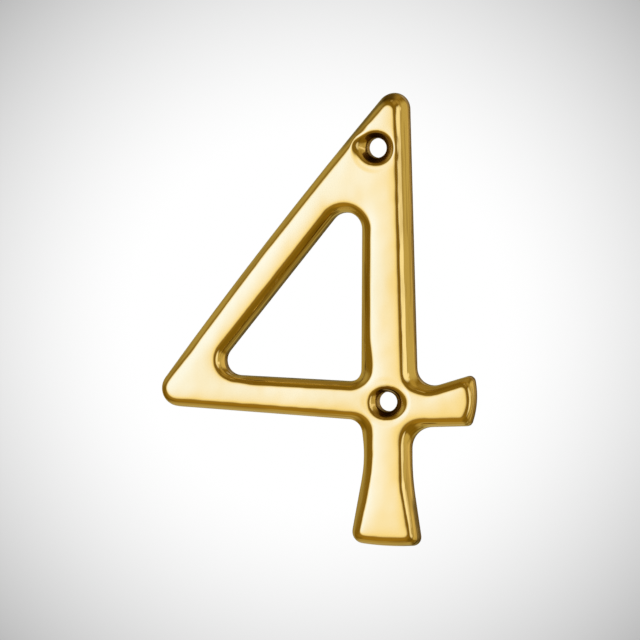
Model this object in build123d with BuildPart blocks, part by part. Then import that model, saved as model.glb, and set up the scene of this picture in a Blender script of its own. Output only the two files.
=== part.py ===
"""House number: a cast brass numeral four with two countersunk screw holes.

The numeral stands upright, as it is fixed to a door. +Z is up and the face looks along -Y.
The origin is on the flat back, midway between the two screw holes. Sizes are in millimetres.
"""
import os
from math import copysign, radians, tan
from typing import NamedTuple

from build123d import *

# Section of the casting, from the flat back to the polished face. The drafted wall turns in at the
# shoulder to the sloping flank, and the flank turns in at the brow to a shallower slope round the face
thickness = 3.5
shoulder_height = 1.75
shoulder_radius = 0.8
draft = 0.15
brow_share = 0.48
brow_drop = 0.4
brow_radius = 0.8
edge_radius = 1.0

# Screw holes: the lower one stands a little to the right of the upper one, and its countersink leans
# to the right. The upper countersink reaches to the rounded edge of the diagonal
screw_pitch = 42.3
screw_sidestep = 1.75
screw_hole_radius = 1.65
countersink_radius = 3.0
countersink_angle = 90
countersink_rim_radius = 0.25
upper_countersink_lean = 0
lower_countersink_lean = -6

# Diagonal and stem of the back outline, to the points where the sides would meet
apex_across = 4.23
apex_height = 34.7
apex_radius = 2.7
stem_flank = 1.95
bar_left_across = -40.95
bar_left_height = -22.05
bar_left_radius = 3.15
bar_flank = 1.15
diagonal_bow = 0.75
diagonal_flank = 1.2

# Short arm to the right of the stem
arm_root_across = 5.76
arm_root_top_height = -19.4
arm_root_top_radius = 2.9
arm_root_bottom_height = -25.5
arm_root_bottom_radius = 3.5
arm_tip_top_across = 15.33
arm_tip_top_height = -16.45
arm_tip_bottom_across = 14.88
arm_tip_bottom_rise = 0.35
arm_tip_radius = 1.0
arm_end_bow = 0.7
arm_top_flank = 1.2
arm_end_flank = 1.05
arm_bottom_flank = 1.22

# Flared foot below the crossbar. Rises and drops are from the lower corner of the arm's root
foot_root_right_across = 4.82
right_waist_across = 4.82
right_waist_drop = 8.1
right_waist_radius = 45.0
foot_right_across = 6.58
foot_right_drop = 19.67
foot_left_across = -5.66
foot_left_drop = 19.17
left_waist_across = -3.07
left_waist_drop = 5.3
left_waist_radius = 22.5
foot_root_left_across = -3.83
foot_root_left_rise = 1.12
foot_root_left_radius = 2.3
foot_tip_radius = 1.5
foot_left_tip_radius = 2.1
foot_end_bow = 0.42
foot_right_flank = 1.38
foot_end_flank = 1.3
foot_left_flank = 1.86

# Counter, the three-cornered opening
counter_top_across = -3.6
counter_top_height = 15.3
counter_top_radius = 2.7
counter_left_across = -29.52
counter_left_height = -16.8
counter_left_radius = 2.5
counter_right_across = -3.75
counter_right_height = -17.9
counter_right_radius = 2.0
counter_diagonal_flank = 1.3
counter_bar_flank = 1.05
counter_stem_flank = 1.85

# Heights of the arm and foot
arm_tip_bottom_height = arm_root_bottom_height + arm_tip_bottom_rise
right_waist_height = arm_root_bottom_height - right_waist_drop
foot_right_height = arm_root_bottom_height - foot_right_drop
foot_left_height = arm_root_bottom_height - foot_left_drop
left_waist_height = arm_root_bottom_height - left_waist_drop
foot_root_left_height = arm_root_bottom_height + foot_root_left_rise


class Side(NamedTuple):
    """One side of an outline: the corner it leaves, that corner's radius, its flank and its bow."""

    corner: tuple
    radius: float
    flank: float
    bow: float = 0


# Clockwise from the apex, with the metal on the right
numeral_sides = [
    Side((apex_across, apex_height), apex_radius, stem_flank),
    Side((arm_root_across, arm_root_top_height), arm_root_top_radius, arm_top_flank),
    Side((arm_tip_top_across, arm_tip_top_height), arm_tip_radius, arm_end_flank, arm_end_bow),
    Side((arm_tip_bottom_across, arm_tip_bottom_height), arm_tip_radius, arm_bottom_flank),
    Side((foot_root_right_across, arm_root_bottom_height), arm_root_bottom_radius, foot_right_flank),
    Side((right_waist_across, right_waist_height), right_waist_radius, foot_right_flank),
    Side((foot_right_across, foot_right_height), foot_tip_radius, foot_end_flank, foot_end_bow),
    Side((foot_left_across, foot_left_height), foot_left_tip_radius, foot_left_flank),
    Side((left_waist_across, left_waist_height), left_waist_radius, foot_left_flank),
    Side((foot_root_left_across, foot_root_left_height), foot_root_left_radius, bar_flank),
    Side((bar_left_across, bar_left_height), bar_left_radius, diagonal_flank, diagonal_bow),
]

# Anticlockwise from the top, so that the metal is again on the right
counter_sides = [
    Side((counter_top_across, counter_top_height), counter_top_radius, counter_diagonal_flank),
    Side((counter_left_across, counter_left_height), counter_left_radius, counter_bar_flank),
    Side((counter_right_across, counter_right_height), counter_right_radius, counter_stem_flank),
]


def draw_level(depth, sides, widths):
    """Sketch an outline at a depth in front of the back, each side moved into the metal by its width."""
    corners = [Vector(*side.corner) for side in sides]
    rounds = []
    for index, corner in enumerate(corners):
        before = (corner - corners[index - 1]).normalized()
        after = (corners[(index + 1) % len(corners)] - corner).normalized()
        turn = before.cross(after).Z
        moved = corner + (before * widths[index] - after * widths[index - 1]) * (1 / turn)
        inset = (widths[index] + widths[index - 1]) / 2
        rounds.append((moved, max(sides[index].radius + copysign(inset, turn), edge_radius)))
    with BuildSketch(Plane.XZ.offset(depth)) as level:
        with BuildLine():
            for index, side in enumerate(sides):
                start = rounds[index][0]
                end = rounds[(index + 1) % len(rounds)][0]
                if side.bow:
                    SagittaArc(start, end, side.bow)
                else:
                    Line(start, end)
        make_face()
        for corner, radius in rounds:
            fillet(level.vertices().sort_by_distance(corner)[0], radius)
    return level.sketch


def draw_levels(sides):
    """Sketch an outline at the back, at the shoulder, at the brow and at the face."""
    return [
        draw_level(0, sides, [0] * len(sides)),
        draw_level(shoulder_height, sides, [draft] * len(sides)),
        draw_level(thickness - brow_drop, sides, [side.flank * (1 - brow_share) for side in sides]),
        draw_level(thickness, sides, [side.flank for side in sides]),
    ]


upper_screw = (-screw_sidestep / 2, screw_pitch / 2)
lower_screw = (screw_sidestep / 2, -screw_pitch / 2)
countersink_slope = tan(radians(countersink_angle / 2))
countersink_tip_depth = countersink_radius / countersink_slope
countersink_depth = countersink_tip_depth - screw_hole_radius / countersink_slope
cutter_height = countersink_tip_depth + thickness

with BuildPart() as numeral_four:
    # Casting: drafted wall and sloping flank, then the counter with the same section
    loft(draw_levels(numeral_sides), ruled=True)
    loft(draw_levels(counter_sides), ruled=True, mode=Mode.SUBTRACT)
    face_rim = numeral_four.faces().sort_by(Axis.Y)[0].edges()
    fillet(face_rim, edge_radius)
    brow = numeral_four.edges().filter_by_position(Axis.Y, brow_drop - thickness, brow_drop - thickness)
    fillet(brow, brow_radius)
    shoulder = numeral_four.edges().filter_by_position(Axis.Y, -shoulder_height, -shoulder_height)
    fillet(shoulder, shoulder_radius)

    # Screw holes, drilled from the face
    with Locations(Plane.XZ.offset(thickness)):
        with Locations(upper_screw, lower_screw):
            Hole(screw_hole_radius)

    # Countersinks, cut by a pointed tool and softened at the rim
    for screw, lean in ((upper_screw, upper_countersink_lean), (lower_screw, lower_countersink_lean)):
        with Locations(Plane.XZ.offset(thickness - countersink_tip_depth)):
            with Locations(Location((*screw, 0), (0, -lean, 0))):
                Cone(
                    0,
                    cutter_height * countersink_slope,
                    cutter_height,
                    align=(Align.CENTER, Align.CENTER, Align.MIN),
                    mode=Mode.SUBTRACT,
                )
        cut_edges = numeral_four.edges(Select.LAST).filter_by(GeomType.LINE, reverse=True)
        rim = cut_edges.filter_by_position(Axis.Y, -thickness, countersink_depth / 2 - thickness)
        fillet(rim, countersink_rim_radius)

numeral_four.part.label = "numeral_four"
os.makedirs("parts", exist_ok=True)
export_step(numeral_four.part, "parts/numeral_four.step")
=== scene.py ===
from math import cos, degrees, radians, sin

import bmesh
import bpy
import numpy as np
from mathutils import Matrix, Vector


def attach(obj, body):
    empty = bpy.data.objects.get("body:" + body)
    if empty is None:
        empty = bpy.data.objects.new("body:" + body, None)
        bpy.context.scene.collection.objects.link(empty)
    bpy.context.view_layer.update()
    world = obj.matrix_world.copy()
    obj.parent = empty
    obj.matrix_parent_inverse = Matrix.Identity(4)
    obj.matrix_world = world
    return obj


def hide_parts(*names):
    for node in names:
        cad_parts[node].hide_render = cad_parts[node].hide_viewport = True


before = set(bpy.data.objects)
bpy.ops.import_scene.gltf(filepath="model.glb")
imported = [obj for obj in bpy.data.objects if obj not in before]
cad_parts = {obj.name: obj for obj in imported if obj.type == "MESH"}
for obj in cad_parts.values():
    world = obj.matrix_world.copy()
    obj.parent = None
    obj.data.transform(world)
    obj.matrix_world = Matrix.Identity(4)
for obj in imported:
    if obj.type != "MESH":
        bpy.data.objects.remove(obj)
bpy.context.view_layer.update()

# Numeral: one brass casting, poured in sand with a flat back and tapered walls. The face and the
# flanks are buffed to a mirror on a soft wheel, the walls stay as cast and the back is ground flat.
# Two countersunk screws hold it to the door.
MM = 0.001
merge_gap = 0.001 * MM
back_facing = 0.99
grinding_stock = 1.0 * MM
skin_pitch = 0.21 * MM
ease_factor = 0.5
ease_passes = 6
settle_passes = 3
screw_places = ((-0.875 * MM, 21.15 * MM), (0.875 * MM, -21.15 * MM))
countersink_reach = 3.8 * MM
face_depth = 3.5 * MM
rim_drop = 0.06 * MM
dome_passes = 150
dome_step = 0.0006 * MM


def keep_shape(piece):
    """Make a piece's modifiers part of its mesh."""
    shown = piece.evaluated_get(bpy.context.evaluated_depsgraph_get())
    piece.data = bpy.data.meshes.new_from_object(shown)
    piece.data.name = piece.name
    piece.modifiers.clear()


# The rough casting has some stock on its back, to be ground off at the end
rough_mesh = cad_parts["numeral_four"].data.copy()
shape = bmesh.new()
shape.from_mesh(rough_mesh)
bmesh.ops.remove_doubles(shape, verts=shape.verts, dist=merge_gap)
shape.normal_update()
back = [face for face in shape.faces if face.normal.y > back_facing]
grown = bmesh.ops.extrude_face_region(shape, geom=back)["geom"]
grown_verts = [item for item in grown if isinstance(item, bmesh.types.BMVert)]
bmesh.ops.translate(shape, verts=grown_verts, vec=(0.0, grinding_stock, 0.0))
shape.to_mesh(rough_mesh)
shape.free()
rough = bpy.data.objects.new("rough_casting", rough_mesh)
casting = bpy.data.objects.new("numeral_casting", rough_mesh)
for piece in (rough, casting):
    bpy.context.scene.collection.objects.link(piece)

# An even skin of small faces, laid on the casting and eased twice
skin = casting.modifiers.new("skin", "REMESH")
skin.mode = "VOXEL"
skin.voxel_size = skin_pitch
for turn in range(2):
    lay_on = casting.modifiers.new("lay_on", "SHRINKWRAP")
    lay_on.target = rough
    ease = casting.modifiers.new("ease", "SMOOTH")
    ease.factor = ease_factor
    ease.iterations = ease_passes
keep_shape(casting)
bpy.data.objects.remove(rough)

# Buffing leaves the face a little full between its edges
points = np.array([vert.co for vert in casting.data.vertices])
links = np.array([edge.vertices for edge in casting.data.edges])
near_screw = np.zeros(len(points), dtype=bool)
for across, height in screw_places:
    near_screw |= np.hypot(points[:, 0] - across, points[:, 2] - height) < countersink_reach
buffed = points[:, 1] < rim_drop - face_depth
loose = buffed | near_screw & (points[:, 1] < -0.5 * face_depth)
neighbours = np.bincount(links.ravel(), minlength=len(points))
fullness = np.zeros(len(points))
for turn in range(dome_passes):
    around = np.bincount(links[:, 0], fullness[links[:, 1]], len(points))
    around += np.bincount(links[:, 1], fullness[links[:, 0]], len(points))
    fullness = np.where(loose, around / neighbours + dome_step * buffed, 0.0)
points[:, 1] -= fullness
points[:, 1] *= face_depth / -points[:, 1].min()

# Hand finishing moves the edge of the face here and there: place, reach and move, in millimetres. The
# moves fade out towards the wall and towards the screws
edge_moves = (
    ((-1.8, -15.6), 5.5, (0.44, -0.14)),
    ((-1.7, -24.8), 4.5, (0.36, 0.28)),
    ((4.7, -25.1), 3.9, (-0.34, 0.32)),
    ((4.2, -18.4), 3.2, (-0.26, -0.26)),
    ((14.5, -21.0), 5.0, (0.42, 0.0)),
    ((-35.5, -17.5), 6.5, (-0.19, 0.04)),
    ((-25.7, -17.7), 4.5, (0.08, 0.30)),
    ((-2.9, -42.2), 5.5, (-0.20, -0.08)),
    ((3.2, -30.5), 6.0, (0.17, 0.0)),
    ((4.4, -41.0), 6.5, (0.15, 0.0)),
    ((1.4, 28.4), 3.2, (-0.05, -0.16)),
)
edge_depths = (1.9, 3.2)
edge_screw_gaps = (3.3, 4.3)


def ramp(values, start, end):
    """A smooth step over an array, from 0 at start to 1 at end."""
    share = np.clip((values - start) / (end - start), 0.0, 1.0)
    return share * share * (3.0 - 2.0 * share)


depths = points[:, 1] / -MM
off_screws = np.ones(len(points))
for across, height in screw_places:
    gap = np.hypot(points[:, 0] - across, points[:, 2] - height) / MM
    off_screws *= ramp(gap, *edge_screw_gaps)
for (across, height), reach, (move_across, move_up) in edge_moves:
    share = np.hypot(points[:, 0] / MM - across, points[:, 2] / MM - height) / reach
    share = np.maximum(1.0 - share * share, 0.0) ** 2 * ramp(depths, *edge_depths) * off_screws
    points[:, 0] += move_across * MM * share
    points[:, 2] += move_up * MM * share

# The rims of the countersinks are a little out of round: for each screw, how far the rim moves out all
# round, at the right, at the top and at both sides. The wheel has dragged the upper rim to the left and
# dished it there. Each move grows and fades with the gap to the middle of the screw, in millimetres
rim_moves = ((-0.20, 0.12, 0.0, 0.10), (-0.22, -0.36, -0.2, 0.22))
rim_grows = (1.7, 3.1)
rim_fades = (4.2, 3.2)
drags = (0.4, 0.0)
drag_fades = (4.7, 3.2)
drag_left = 0.978
drag_up = 0.208
drag_point = 8
dip_depth = 0.4
dip_grows = (1.9, 3.0)
dip_fades = (3.9, 3.0)
cut_depths = (1.5, 1.8)
for (across, height), moves, drag in zip(screw_places, rim_moves, drags):
    side = points[:, 0] - across
    rise = points[:, 2] - height
    gap = np.hypot(side, rise) / MM + 1e-9
    right = side / MM / gap
    top = rise / MM / gap
    left_point = np.maximum(drag_up * top - drag_left * right, 0.0) ** drag_point
    shapes = (1.0, right, top, right**2 - top**2)
    round_move = sum(amount * pattern for amount, pattern in zip(moves, shapes))
    share = round_move * ramp(gap, *rim_grows) * ramp(gap, *rim_fades)
    share += drag * left_point * ramp(gap, *rim_grows) * ramp(gap, *drag_fades)
    cut = ramp(depths, *cut_depths)
    points[:, 0] += right * share * cut * MM
    points[:, 2] += top * share * cut * MM
    dip = dip_depth * left_point * ramp(gap, *dip_grows) * ramp(gap, *dip_fades)
    points[:, 1] += drag * dip * cut * MM
casting.data.vertices.foreach_set("co", points.ravel())
settle = casting.modifiers.new("settle", "SMOOTH")
settle.factor = ease_factor
settle.iterations = settle_passes
keep_shape(casting)

# The back is ground flat last of all, which leaves its edges crisp. The flat is filled in millimetres
snap_gap = 0.02
for polygon in casting.data.polygons:
    polygon.use_smooth = True
shape = bmesh.new()
shape.from_mesh(casting.data)
bmesh.ops.scale(shape, verts=shape.verts, vec=(1.0 / MM, 1.0 / MM, 1.0 / MM))
bmesh.ops.bisect_plane(
    shape,
    geom=[*shape.verts, *shape.edges, *shape.faces],
    dist=snap_gap,
    plane_co=(0.0, 0.0, 0.0),
    plane_no=(0.0, 1.0, 0.0),
    use_snap_center=True,
    clear_outer=True,
)
back_edges = [edge for edge in shape.edges if edge.is_boundary]
bmesh.ops.triangle_fill(shape, edges=back_edges, use_beauty=True, normal=(0.0, 1.0, 0.0))
for edge in back_edges:
    edge.smooth = False
bmesh.ops.scale(shape, verts=shape.verts, vec=(MM, MM, MM))
shape.to_mesh(casting.data)
shape.free()

brass = bpy.data.materials.new("polished_brass")
brass.use_nodes = True
brass_nodes = brass.node_tree.nodes
brass_links = brass.node_tree.links
brass_shader = brass_nodes["Principled BSDF"]
brass_shader.inputs["Metallic"].default_value = 1.0
brass_place = brass_nodes.new("ShaderNodeTexCoord")
brass_axes = brass_nodes.new("ShaderNodeSeparateXYZ")
brass_links.new(brass_place.outputs["Object"], brass_axes.inputs["Vector"])


def math_for(tree):
    """Return a function that adds a Math node to a node tree and gives its output."""

    def add_math(operation, first, second=0.0, clamp=False):
        node = tree.nodes.new("ShaderNodeMath")
        node.operation = operation
        node.use_clamp = clamp
        for socket, value in zip(node.inputs, (first, second)):
            if isinstance(value, (int, float)):
                socket.default_value = value
            else:
                tree.links.new(value, socket)
        return node.outputs[0]

    return add_math


def step_for(tree):
    """Return a function that adds a smooth step to a node tree, from 0 at start to 1 at end."""

    def add_step(value, start, end):
        node = tree.nodes.new("ShaderNodeMapRange")
        node.interpolation_type = "SMOOTHSTEP"
        tree.links.new(value, node.inputs["Value"])
        node.inputs["From Min"].default_value = start
        node.inputs["From Max"].default_value = end
        return node.outputs["Result"]

    return add_step


brass_math = math_for(brass.node_tree)
brass_step = step_for(brass.node_tree)


def brass_noise(turn, lengths, detail):
    """Noise on the brass, turned about the depth, with marks of the given lengths in millimetres."""
    mapping = brass_nodes.new("ShaderNodeMapping")
    mapping.inputs["Rotation"].default_value = (0.0, radians(turn), 0.0)
    mapping.inputs["Scale"].default_value = tuple(1.0 / (length * MM) for length in lengths)
    brass_links.new(brass_place.outputs["Object"], mapping.inputs["Vector"])
    node = brass_nodes.new("ShaderNodeTexNoise")
    node.inputs["Scale"].default_value = 1.0
    node.inputs["Detail"].default_value = detail
    brass_links.new(mapping.outputs["Vector"], node.inputs["Vector"])
    return brass_step(node.outputs["Fac"], 0.25, 0.75)


def brass_mix(mask, first, second):
    """Mix two colours or two values of the brass by a mask."""
    node = brass_nodes.new("ShaderNodeMix")
    colours = isinstance(first, tuple) or getattr(first, "type", "") == "RGBA"
    node.data_type = "RGBA" if colours else "FLOAT"
    kind = "RGBA" if colours else "VALUE"
    brass_links.new(mask, node.inputs["Factor"])
    ends = [socket for socket in node.inputs if socket.name in "AB" and socket.type == kind]
    for socket, value in zip(ends, (first, second)):
        if isinstance(value, tuple):
            socket.default_value = (*value, 1.0)
        elif isinstance(value, (int, float)):
            socket.default_value = value
        else:
            brass_links.new(value, socket)
    return next(socket for socket in node.outputs if socket.type == kind)


def brass_offset(across, height):
    """How far a point of the brass lies to the right of a place, above it and away from it."""
    side = brass_math("SUBTRACT", brass_axes.outputs["X"], across)
    rise = brass_math("SUBTRACT", brass_axes.outputs["Z"], height)
    squares = brass_math("ADD", brass_math("MULTIPLY", side, side), brass_math("MULTIPLY", rise, rise))
    return side, rise, brass_math("SQRT", squares)


# Patterns of the finish: drift of colour, waves and lines from the wheel, sand grain, scratches behind
tone = brass_noise(0.0, (14.0, 14.0, 14.0), 2.0)
swell = brass_noise(20.0, (5.0, 5.0, 7.0), 1.0)
hairline = brass_noise(38.0, (0.12, 0.6, 4.0), 2.0)
streak = brass_noise(0.0, (1.6, 2.5, 1.6), 2.0)
wheel_line = brass_noise(0.0, (11.0, 0.5, 11.0), 2.0)
grain = brass_noise(0.0, (0.3, 0.3, 0.3), 2.0)
scratch = brass_noise(12.0, (6.0, 1.0, 0.09), 2.0)

# Zones by the depth in front of the back, in millimetres. The skin from the sand ends in a ragged line
brass_depth = brass_math("DIVIDE", brass_axes.outputs["Y"], -MM)
flank = brass_step(brass_depth, 3.4, 3.2)
wall = brass_step(brass_depth, 1.8, 1.2)
ground = brass_step(brass_depth, 0.08, 0.03)
ragged_depth = brass_math("ADD", brass_depth, brass_math("MULTIPLY", streak, 0.5))
casting_skin = brass_step(ragged_depth, 1.25, 0.8)

# Painted shade lies on the flanks in a few patches: place, reach and the depth below which it lies, in
# millimetres
painted_shade_places = (
    ((-5.5, 27.5), 8.5, 3.35),
    ((0.4, 29.8), 2.6, 3.45),
    ((7.0, -42.0), 6.5, 2.35),
    ((-5.5, -40.0), 6.0, 2.2),
    ((-13.0, -5.0), 24.0, 1.9),
)
painted_shade_fade = 0.5
painted_shade_strength = 0.85
painted_shade_patches = 0.0
for (across, height), reach, depth in painted_shade_places:
    distance = brass_offset(across * MM, height * MM)[2]
    near = brass_step(distance, reach * MM, 0.5 * reach * MM)
    patch = brass_math("MULTIPLY", near, brass_step(brass_depth, depth, depth - painted_shade_fade))
    painted_shade_patches = brass_math("MAXIMUM", painted_shade_patches, brass_math("MULTIPLY", patch, painted_shade_strength))

# Countersinks and bores, by the gap to the middle of the screw in millimetres. Painted shade darkens
# each countersink, apart from its left side
shade_lean_right = 0.985
shade_lean_down = 0.174
screw_gaps = []
countersink_shade_sides = []
for across, height in screw_places:
    side, rise, distance = brass_offset(across, height)
    gap = brass_math("DIVIDE", distance, MM)
    rightward = brass_math("MULTIPLY", side, shade_lean_right)
    turned = brass_math("SUBTRACT", rightward, brass_math("MULTIPLY", rise, shade_lean_down))
    countersink_shade_side = brass_step(brass_math("DIVIDE", turned, distance), -0.95, -0.4)
    countersink_shade_sides.append(brass_math("MULTIPLY", countersink_shade_side, brass_step(gap, 3.1, 2.4)))
    screw_gaps.append(gap)
screw_gap = brass_math("MINIMUM", *screw_gaps)
below_face = brass_step(brass_depth, 3.45, 3.35)
countersunk = brass_math("MULTIPLY", brass_step(screw_gap, 3.0, 2.7), below_face)
countersink_shade = brass_math("MAXIMUM", *countersink_shade_sides)
# Painted shade is deepest next to the bore
deep_countersink_shade = brass_step(screw_gap, 2.6, 1.9)
bored = brass_step(screw_gap, 1.75, 1.65)

dull_strength = 0.6
dull_line = brass_math("MULTIPLY", brass_step(wheel_line, 0.45, 0.85), dull_strength)
dull_line = brass_math("MULTIPLY", flank, dull_line)
wall_colour = brass_mix(streak, (0.78, 0.60, 0.27), (0.56, 0.40, 0.14))
skin_colour = brass_mix(streak, (0.30, 0.21, 0.08), (0.14, 0.09, 0.03))
# Painted shade: dark brown for the patches on the flanks
painted_shade_colour = brass_mix(streak, (0.20, 0.14, 0.045), (0.08, 0.05, 0.015))
countersink_colour = brass_mix(grain, (0.90, 0.72, 0.35), (0.78, 0.60, 0.26))
# Painted shade: the bores are coloured darker than the brass around them
bore_shade_colour = brass_mix(grain, (0.60, 0.44, 0.17), (0.44, 0.30, 0.11))
# Painted shade in the countersinks, darker next to the bore
countersink_shade_colour = brass_mix(deep_countersink_shade, (0.33, 0.21, 0.06), (0.22, 0.14, 0.035))
ground_colour = brass_mix(scratch, (0.82, 0.65, 0.31), (0.70, 0.53, 0.23))
brass_colour = brass_mix(tone, (0.93, 0.765, 0.385), (0.90, 0.73, 0.345))
brass_colour = brass_mix(dull_line, brass_colour, (0.58, 0.43, 0.17))
brass_colour = brass_mix(wall, brass_colour, wall_colour)
brass_colour = brass_mix(casting_skin, brass_colour, skin_colour)
# Painted shade in patches on the flanks
brass_colour = brass_mix(painted_shade_patches, brass_colour, painted_shade_colour)
brass_colour = brass_mix(countersunk, brass_colour, countersink_colour)
# Painted shade inside the bores
brass_colour = brass_mix(bored, brass_colour, bore_shade_colour)
# Painted shade in the countersinks, apart from their left sides
brass_colour = brass_mix(countersink_shade, brass_colour, countersink_shade_colour)
brass_colour = brass_mix(ground, brass_colour, ground_colour)
brass_links.new(brass_colour, brass_shader.inputs["Base Color"])

brass_roughness = brass_mix(hairline, 0.06, 0.1)
brass_roughness = brass_mix(wall, brass_roughness, brass_mix(streak, 0.16, 0.30))
brass_roughness = brass_mix(countersunk, brass_roughness, brass_mix(grain, 0.10, 0.18))
brass_roughness = brass_mix(bored, brass_roughness, brass_mix(grain, 0.4, 0.55))
brass_roughness = brass_mix(ground, brass_roughness, brass_mix(scratch, 0.34, 0.5))
brass_links.new(brass_roughness, brass_shader.inputs["Roughness"])

# Heights in millimetres: slow waves and faint lines from the wheel, grain on the wall, scratches behind
swell_height = 0.02
hairline_height = 0.0002
wheel_line_height = 0.03
grain_height = 0.003
scratch_height = 0.003
off_screw = brass_step(screw_gap, 3.4, 4.4)
wheel_marks = brass_math("MULTIPLY", wheel_line, off_screw)
brass_height = brass_math("MULTIPLY", swell, swell_height)
brass_height = brass_math("ADD", brass_height, brass_math("MULTIPLY", hairline, hairline_height))
brass_height = brass_math("ADD", brass_height, brass_math("MULTIPLY", wheel_marks, wheel_line_height))
brass_height = brass_mix(wall, brass_height, brass_math("MULTIPLY", grain, grain_height))
brass_height = brass_mix(ground, brass_height, brass_math("MULTIPLY", scratch, scratch_height))
brass_bump = brass_nodes.new("ShaderNodeBump")
brass_bump.inputs["Distance"].default_value = MM
brass_links.new(brass_height, brass_bump.inputs["Height"])
brass_links.new(brass_bump.outputs["Normal"], brass_shader.inputs["Normal"])

casting.data.materials.clear()
casting.data.materials.append(brass)
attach(casting, "root")
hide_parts("numeral_four")

# Camera: level with the numeral and a little to its right, far off with a long lens, as in a
# catalogue photograph.
camera_azimuth = 13.0
camera_elevation = 2.0
camera_distance = 0.9
camera_aim = Vector((-11.02, -0.1, -7.66)) * MM


def direction(azimuth, elevation):
    """Direction at an angle round from the front towards the right and up from level, in degrees."""
    return Vector((
        sin(radians(azimuth)) * cos(radians(elevation)),
        -cos(radians(azimuth)) * cos(radians(elevation)),
        sin(radians(elevation)),
    ))


towards_camera = direction(camera_azimuth, camera_elevation)
camera = bpy.data.objects.new("camera", bpy.data.cameras.new("camera"))
bpy.context.scene.collection.objects.link(camera)
camera.data.sensor_width = 36.0
camera.data.lens = 302.4
camera.location = camera_aim + towards_camera * camera_distance
camera.rotation_mode = "QUATERNION"
camera.rotation_quaternion = (-towards_camera).to_track_quat("-Z", "Y")
bpy.context.scene.camera = camera

# Floor: a round sheet of pale paper below the numeral, which stands upright above it as on a door.
# The sheet thins away towards its rim, so that no edge shows.
floor_height = -0.2
floor_reach = 1.3
floor_fade = 0.4
floor_mesh = bpy.data.meshes.new("floor")
floor = bpy.data.objects.new("floor", floor_mesh)
bpy.context.scene.collection.objects.link(floor)
shape = bmesh.new()
bmesh.ops.create_circle(shape, cap_ends=True, segments=96, radius=floor_reach)
bmesh.ops.translate(shape, verts=shape.verts, vec=(0.0, 0.0, floor_height))
shape.to_mesh(floor_mesh)
shape.free()
paper = bpy.data.materials.new("pale_paper")
paper.use_nodes = True
paper_nodes = paper.node_tree.nodes
paper_links = paper.node_tree.links
paper_shader = paper_nodes["Principled BSDF"]
paper_shader.inputs["Base Color"].default_value = (0.82, 0.82, 0.82, 1.0)
paper_shader.inputs["Roughness"].default_value = 0.9
paper_place = paper_nodes.new("ShaderNodeTexCoord")
paper_reach = paper_nodes.new("ShaderNodeVectorMath")
paper_reach.operation = "LENGTH"
paper_links.new(paper_place.outputs["Object"], paper_reach.inputs[0])
paper_step = step_for(paper.node_tree)
paper_cover = paper_step(paper_reach.outputs["Value"], floor_reach, floor_fade * floor_reach)
paper_links.new(paper_cover, paper_shader.inputs["Alpha"])
floor_mesh.materials.append(paper)
floor.visible_glossy = False

# Surround: the light tent that the polished brass mirrors. Its walls are dim and warm, with a soft
# white panel in front and another to the right.
tent_radius = 5.0
tent_mesh = bpy.data.meshes.new("light_tent")
tent = bpy.data.objects.new("light_tent", tent_mesh)
bpy.context.scene.collection.objects.link(tent)
shape = bmesh.new()
bmesh.ops.create_uvsphere(shape, u_segments=48, v_segments=24, radius=tent_radius)
shape.to_mesh(tent_mesh)
shape.free()
tent_fabric = bpy.data.materials.new("tent_fabric")
tent_fabric.use_nodes = True
tent_nodes = tent_fabric.node_tree.nodes
tent_links = tent_fabric.node_tree.links
tent_nodes.clear()
tent_output = tent_nodes.new("ShaderNodeOutputMaterial")
tent_glow = tent_nodes.new("ShaderNodeEmission")
tent_links.new(tent_glow.outputs["Emission"], tent_output.inputs["Surface"])
tent_place = tent_nodes.new("ShaderNodeTexCoord")
tent_direction = tent_nodes.new("ShaderNodeVectorMath")
tent_direction.operation = "NORMALIZE"
tent_links.new(tent_place.outputs["Object"], tent_direction.inputs[0])
tent_axes = tent_nodes.new("ShaderNodeSeparateXYZ")
tent_links.new(tent_direction.outputs["Vector"], tent_axes.inputs["Vector"])
tent_math = math_for(tent_fabric.node_tree)
tent_step = step_for(tent_fabric.node_tree)

# Angles on the tent in degrees: round from the front towards the right, and up from level
to_degrees = degrees(1.0)
tent_front = tent_math("MULTIPLY", tent_axes.outputs["Y"], -1.0)
tent_round = tent_math("ARCTAN2", tent_axes.outputs["X"], tent_front)
tent_round = tent_math("MULTIPLY", tent_round, to_degrees)
tent_up = tent_math("MULTIPLY", tent_math("ARCSINE", tent_axes.outputs["Z"]), to_degrees)


def disc(azimuth, elevation, outer, inner):
    """Mask of a round panel on the tent, which fades from an inner to an outer angle, in degrees."""
    facing = tent_nodes.new("ShaderNodeVectorMath")
    facing.operation = "DOT_PRODUCT"
    tent_links.new(tent_direction.outputs["Vector"], facing.inputs[0])
    facing.inputs[1].default_value = direction(azimuth, elevation)
    off_axis = tent_math("MULTIPLY", tent_math("ARCCOSINE", facing.outputs["Value"]), to_degrees)
    return tent_step(off_axis, outer, inner)


def oval(azimuth, elevation, half_width, half_height, blur):
    """Mask of an oval panel on the tent, sized in degrees, with a blurred edge."""
    across = tent_math("DIVIDE", tent_math("SUBTRACT", tent_round, azimuth), half_width)
    rise = tent_math("DIVIDE", tent_math("SUBTRACT", tent_up, elevation), half_height)
    squares = tent_math("ADD", tent_math("MULTIPLY", across, across), tent_math("MULTIPLY", rise, rise))
    return tent_step(tent_math("SQRT", squares), 1.0 + blur, 1.0 - blur)


def add_panel(behind, mask, colour):
    """Lay a panel's colour over what is behind it on the tent."""
    node = tent_nodes.new("ShaderNodeMix")
    node.data_type = "RGBA"
    tent_links.new(mask, node.inputs["Factor"])
    if isinstance(behind, tuple):
        node.inputs["A"].default_value = (*behind, 1.0)
    else:
        tent_links.new(behind, node.inputs["A"])
    node.inputs["B"].default_value = (*colour, 1.0)
    return next(socket for socket in node.outputs if socket.type == "RGBA")


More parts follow.
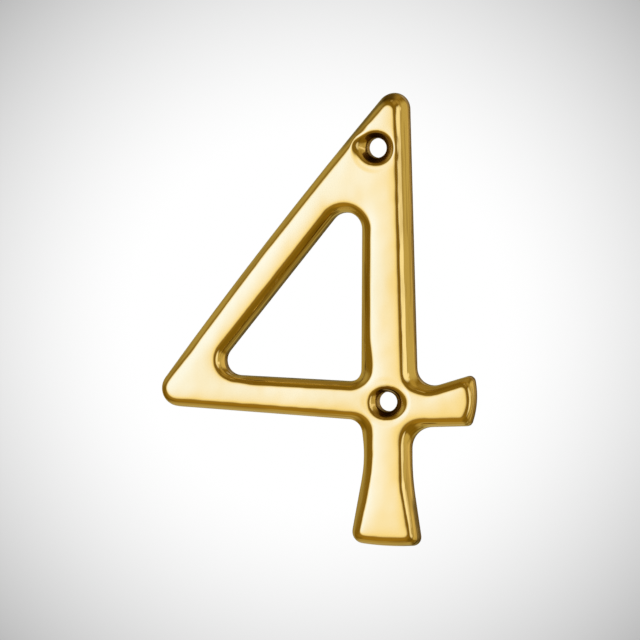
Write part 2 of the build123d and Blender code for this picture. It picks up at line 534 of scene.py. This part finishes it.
# Each panel lies over those before it: first those behind, overhead, below and beside, then the front
# panel, creamy in the middle, and last the right panel, which bends over towards the top
panels = (
    (disc(180.0, 8.0, 24.0, 10.0), (0.62, 0.52, 0.32)),
    (disc(180.0, 72.0, 36.0, 16.0), (0.31, 0.20, 0.04)),
    (disc(180.0, -45.0, 40.0, 18.0), (0.42, 0.33, 0.11)),
    (oval(-160.0, 0.0, 25.0, 40.0, 0.4), (0.36, 0.29, 0.10)),
    (disc(-100.0, -74.0, 38.0, 16.0), (0.46, 0.33, 0.095)),
    (oval(-20.0, -24.0, 30.0, 14.0, 0.6), (0.33, 0.195, 0.022)),
    (oval(-90.0, 24.0, 50.0, 19.0, 0.45), (0.42, 0.32, 0.10)),
    (oval(-124.0, 0.0, 36.0, 16.0, 0.5), (0.40, 0.30, 0.09)),
    (oval(90.0, 6.0, 50.0, 35.0, 0.35), (0.55, 0.425, 0.15)),
    (oval(60.0, 50.0, 40.0, 22.0, 0.5), (0.43, 0.29, 0.065)),
    (oval(138.0, 2.0, 17.0, 24.0, 0.35), (0.68, 0.51, 0.19)),
    (oval(92.0, -22.0, 34.0, 13.0, 0.35), (0.57, 0.43, 0.135)),
    (oval(150.0, -50.0, 34.0, 10.0, 0.4), (0.17, 0.105, 0.012)),
    (oval(-165.0, -30.0, 18.0, 11.0, 0.4), (0.53, 0.42, 0.20)),
    (oval(-166.0, 30.0, 17.0, 11.0, 0.4), (0.25, 0.15, 0.02)),
    (oval(-14.0, -48.0, 22.0, 13.0, 0.5), (0.36, 0.205, 0.018)),
    (oval(-20.0, 70.0, 60.0, 10.0, 0.5), (0.32, 0.19, 0.018)),
    (oval(-17.5, -1.5, 15.5, 14.5, 0.36), (1.04, 0.91, 0.57)),
    (oval(-19.5, 0.3, 8.0, 7.2, 0.8), (1.08, 1.26, 2.05)),
    (oval(53.0, 19.0, 8.0, 7.0, 0.5), (0.95, 0.80, 0.42)),
    (oval(64.0, 9.8, 17.0, 5.6, 0.35), (1.0, 0.86, 0.58)),
    (oval(14.0, 36.0, 9.0, 12.0, 0.6), (0.37, 0.24, 0.05)),
    (oval(0.0, 50.0, 8.0, 7.0, 0.5), (0.60, 0.44, 0.165)),
    (oval(38.0, -1.0, 13.5, 22.0, 0.3), (1.06, 0.97, 0.74)),
)
tent_colour = (0.215, 0.124, 0.009)
for mask, colour in panels:
    tent_colour = add_panel(tent_colour, mask, colour)
tent_links.new(tent_colour, tent_glow.inputs["Color"])
tent_mesh.materials.append(tent_fabric)
tent.visible_camera = False
tent.visible_diffuse = False
tent.visible_shadow = False

# Light: an even white studio, which lights the numeral from all sides. Seen directly it is pale, and
# whitest in a round spot behind the numeral. Angles are in degrees.
spot_angle = 1.97
spot_reach = 2.48
spot_fall = 0.403
spot_power = 1.5
spot_end = 1.5
pale = 0.8
world = bpy.data.worlds.new("studio")
bpy.context.scene.world = world
world.use_nodes = True
world_nodes = world.node_tree.nodes
world_links = world.node_tree.links
world_math = math_for(world.node_tree)
world_place = world_nodes.new("ShaderNodeTexCoord")
world_dot = world_nodes.new("ShaderNodeVectorMath")
world_dot.operation = "DOT_PRODUCT"
world_links.new(world_place.outputs["Generated"], world_dot.inputs[0])
world_dot.inputs[1].default_value = -towards_camera
off_centre = world_math("ARCCOSINE", world_dot.outputs["Value"])
past_angle = world_math("SUBTRACT", off_centre, radians(spot_angle))
spot_share = world_math("MAXIMUM", world_math("DIVIDE", past_angle, radians(spot_reach)), 0.0)
spot_drop = world_math("MULTIPLY", world_math("POWER", spot_share, spot_power), spot_fall)
spot = world_math("SUBTRACT", 1.0, spot_drop)
past_spot = world_math("GREATER_THAN", spot_share, spot_end)
backdrop = world_math("MAXIMUM", spot, world_math("MULTIPLY", past_spot, pale))
world_rays = world_nodes.new("ShaderNodeLightPath")
camera_ray = world_rays.outputs["Is Camera Ray"]
seen = world_math("ADD", camera_ray, world_rays.outputs["Is Glossy Ray"], clamp=True)
seen = world_math("ADD", seen, world_rays.outputs["Is Transmission Ray"], clamp=True)
level = world_nodes.new("ShaderNodeMix")
world_links.new(seen, level.inputs["Factor"])
level.inputs["A"].default_value = 1.0
world_links.new(backdrop, level.inputs["B"])
world_links.new(level.outputs["Result"], world_nodes["Background"].inputs["Strength"])
world_nodes["Background"].inputs["Color"].default_value = (1.0, 1.0, 1.0, 1.0)
bpy.context.scene.view_settings.view_transform = "Standard"
